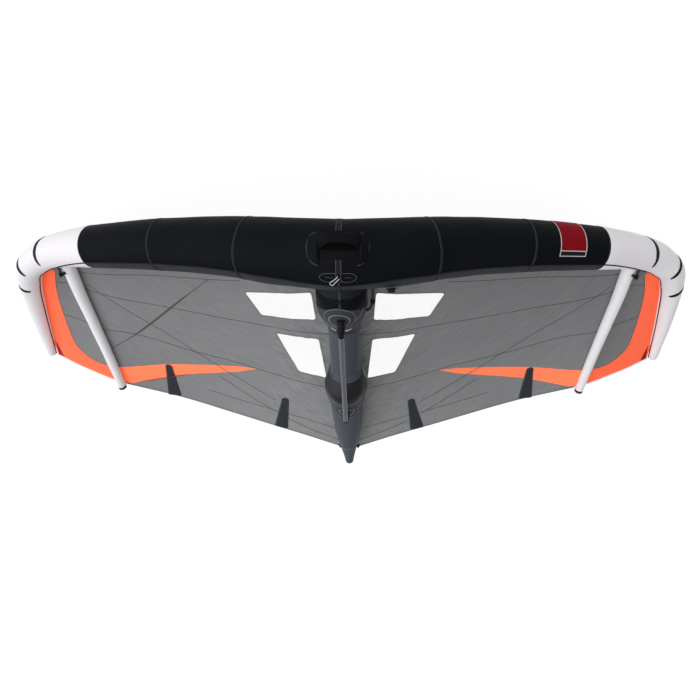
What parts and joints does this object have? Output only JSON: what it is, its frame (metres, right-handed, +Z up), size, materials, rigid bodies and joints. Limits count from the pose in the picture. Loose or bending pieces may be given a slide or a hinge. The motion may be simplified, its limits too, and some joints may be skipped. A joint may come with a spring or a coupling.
{
  "type": "hand-held inflatable foil wing",
  "caption": "Inflatable hand-held foil wing with a swept tube leading edge, centre strut with boom, side struts, cloth canopy with clear windows and orange tip trim.",
  "frame": {"origin": "on the ground under the middle of the wing's box, the wing lying on its back on its two tips", "axes": "+X along the span toward the right tip, +Y from the leading edge to the trailing edge, +Z up, struts and handles on top"},
  "size_m": [4.011, 2.3192, 0.8174],
  "materials": {
    "black_sleeve": "matt coated cloth",
    "white_sleeve": "matt coated cloth",
    "bladder_film": "smooth film",
    "slate_sleeve": "matt coated cloth",
    "canopy_ripstop": "thin translucent ripstop",
    "window_film": "clear film",
    "orange_ripstop": "thin translucent ripstop",
    "red_label": "woven label",
    "black_webbing": "woven webbing",
    "black_rubber": "matt",
    "black_plastic": "fine texture",
    "grey_plastic": "fine texture",
    "white_cord": "braided",
    "boom_metal": "satin anodised",
    "batten_rod": "smooth"
  },
  "bodies": {
    "wing": {"batten_inner_left": "batten_rod", "batten_inner_right": "batten_rod", "batten_outer_left": "batten_rod", "batten_outer_right": "batten_rod", "batten_pocket_inner_left": "black_webbing", "batten_pocket_inner_right": "black_webbing", "batten_pocket_outer_left": "black_webbing", "batten_pocket_outer_right": "black_webbing", "boom_head_front": "black_plastic", "boom_head_rear": "black_plastic", "boom_patch_front": "black_webbing", "boom_patch_rear": "black_webbing", "boom_tube": "boom_metal", "canopy_left": "canopy_ripstop", "canopy_right": "canopy_ripstop", "centre_hose": "black_rubber", "handle_pocket_left": "black_webbing", "handle_pocket_right": "black_webbing", "leading_edge_bladder": "bladder_film", "leading_edge_centre": "black_sleeve", "leading_edge_left": "black_sleeve", "leading_edge_right": "black_sleeve", "leash_patch": "black_webbing", "leash_tab": "black_webbing", "left_hose": "black_rubber", "piping_left": "black_webbing", "piping_right": "black_webbing", "right_hose": "black_rubber", "side_label": "red_label", "side_strut_bladder_left": "bladder_film", "side_strut_bladder_right": "bladder_film", "side_strut_cap_left": "black_rubber", "side_strut_cap_right": "black_rubber", "side_strut_left": "white_sleeve", "side_strut_right": "white_sleeve", "strut_bladder": "bladder_film", "strut_bulge": "black_sleeve", "strut_collar": "black_sleeve", "strut_end_cap": "black_rubber", "strut_funnel": "slate_sleeve", "strut_tail": "slate_sleeve", "strut_waist": "slate_sleeve", "tip_sleeve_left": "white_sleeve", "tip_sleeve_right": "white_sleeve", "tip_trim_left": "orange_ripstop", "tip_trim_right": "orange_ripstop", "valve_body": "grey_plastic", "wedge_trim_left": "orange_ripstop", "wedge_trim_right": "orange_ripstop", "window_front_left": "window_film", "window_front_right": "window_film", "window_rear_left": "window_film", "window_rear_right": "window_film"},
    "front_handle": {"handle_grip": "black_rubber", "handle_webbing": "black_webbing"},
    "leash_loop": {"leash_loop": "white_cord"},
    "valve_cap": {"valve_cap": "black_plastic"},
    "centre_clamp": {"centre_clamp": "black_plastic"},
    "left_clamp": {"left_clamp": "black_plastic"},
    "right_clamp": {"right_clamp": "black_plastic"}
  },
  "joints": [
    {"name": "handle_swing", "type": "hinge", "parent": "wing", "child": "front_handle", "pos_m": [0, -1.0798, 0.6666], "axis": [-1, 0, 0], "range_deg": [0, 140]},
    {"name": "leash_swing", "type": "hinge", "parent": "wing", "child": "leash_loop", "pos_m": [0, -0.9921, 0.7345], "axis": [1, 0, 0], "range_deg": [0, 170]},
    {"name": "cap_hinge", "type": "hinge", "parent": "wing", "child": "valve_cap", "pos_m": [-0.27224, -0.84448, 0.69224], "axis": [-0.1155, -0.884, 0.453], "range_deg": [0, 140]},
    {"name": "centre_clamp_hinge", "type": "hinge", "parent": "wing", "child": "centre_clamp", "pos_m": [-0.16575, -0.68148, 0.63848], "axis": [0.4525, -0.076, 0.8885], "range_deg": [0, 80]},
    {"name": "left_clamp_hinge", "type": "hinge", "parent": "wing", "child": "left_clamp", "pos_m": [-1.62156, -0.32924, 0.18895], "axis": [0.3261, 0.8399, -0.4338], "range_deg": [0, 80]},
    {"name": "right_clamp_hinge", "type": "hinge", "parent": "wing", "child": "right_clamp", "pos_m": [1.62156, -0.32924, 0.18895], "axis": [0.3261, -0.8399, 0.4338], "range_deg": [0, 80]}
  ]
}
